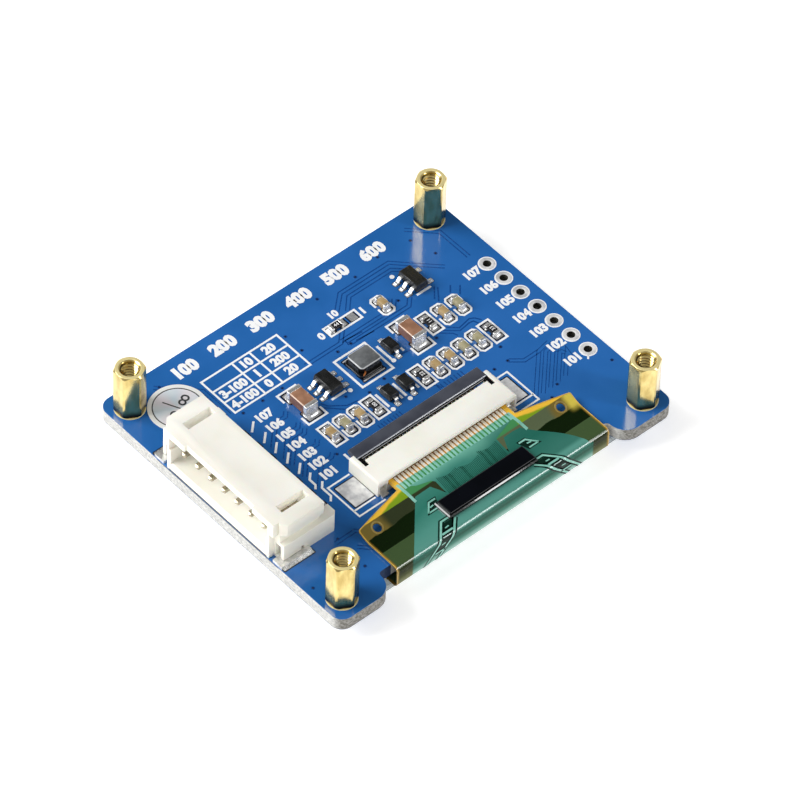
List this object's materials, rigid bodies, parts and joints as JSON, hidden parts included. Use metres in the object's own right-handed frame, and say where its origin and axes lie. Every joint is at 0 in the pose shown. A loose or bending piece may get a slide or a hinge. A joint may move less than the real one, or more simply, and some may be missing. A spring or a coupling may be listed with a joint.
{
  "type": "oled_display_module",
  "caption": "Small colour OLED module seen from the back: blue circuit board with a folded film in a latching socket, a side-entry pin header, chip parts and brass hex standoffs.",
  "frame": {"origin": "Middle of the display's front plane, under the centre of the circuit board.", "axes": "+X runs from the pin header to the row of plated holes, along the board's long side; +Y runs from the film's notch to the opposite edge; +Z runs from the display's face through the board to the tops of the standoffs."},
  "size_m": [0.0446, 0.037, 0.0093],
  "materials": {
    "solder_mask": "gloss",
    "tinned_copper": "satin",
    "panel_glass": "gloss",
    "polariser_film": "gloss",
    "tape": "matte",
    "film": "gloss",
    "silicon": "gloss",
    "cream_plastic": "satin",
    "grey_plastic": "satin",
    "gold_plate": "satin",
    "ferrite": "matte",
    "enamelled_copper": "gloss",
    "black_epoxy": "matte",
    "brass": "satin",
    "zinc_steel": "satin",
    "brown_ceramic": "satin",
    "tan_ceramic": "satin",
    "black_ceramic": "satin",
    "sticker_paper": "gloss"
  },
  "bodies": {
    "module": {"circuit_board": "solder_mask", "plated_holes": "tinned_copper", "front_glass": "panel_glass", "cover_glass": "panel_glass", "polariser": "polariser_film", "mounting_tape": "tape", "film_cable": "film", "film_stiffener": "film", "driver_chip": "silicon", "film_socket_housing": "cream_plastic", "film_socket_contacts": "gold_plate", "film_socket_nail_left": "tinned_copper", "film_socket_nail_right": "tinned_copper", "header_housing": "cream_plastic", "header_tab_left": "tinned_copper", "header_tab_right": "tinned_copper", "header_pin_1": "tinned_copper", "header_pin_2": "tinned_copper", "header_pin_3": "tinned_copper", "header_pin_4": "tinned_copper", "header_pin_5": "tinned_copper", "header_pin_6": "tinned_copper", "header_pin_7": "tinned_copper", "inductor_core": "ferrite", "inductor_winding": "enamelled_copper", "inductor_coating": "black_epoxy", "inductor_terminals": "tinned_copper", "standoff_1": "brass", "standoff_2": "brass", "standoff_3": "brass", "standoff_4": "brass", "screws": "zinc_steel", "regulator": "black_epoxy", "converter": "black_epoxy", "diode_1": "black_epoxy", "diode_2": "black_epoxy", "diode_3": "black_epoxy", "large_capacitor_1": "brown_ceramic", "large_capacitor_2": "brown_ceramic", "capacitor_1": "tan_ceramic", "capacitor_2": "tan_ceramic", "capacitor_3": "tan_ceramic", "capacitor_4": "tan_ceramic", "capacitor_5": "tan_ceramic", "capacitor_6": "tan_ceramic", "capacitor_7": "tan_ceramic", "capacitor_8": "tan_ceramic", "capacitor_9": "tan_ceramic", "capacitor_10": "tan_ceramic", "resistor_1": "black_ceramic", "resistor_2": "black_ceramic", "resistor_3": "black_ceramic", "resistor_4": "black_ceramic", "resistor_5": "black_ceramic", "inspection_sticker": "sticker_paper"},
    "latch": {"film_socket_latch": "grey_plastic"}
  },
  "joints": [
    {"name": "latch_pivot", "type": "hinge", "parent": "module", "child": "latch", "pos_m": [0.0004, -0.00485, 0.00495], "axis": [1, 0, 0], "range_deg": [0, 90]}
  ]
}
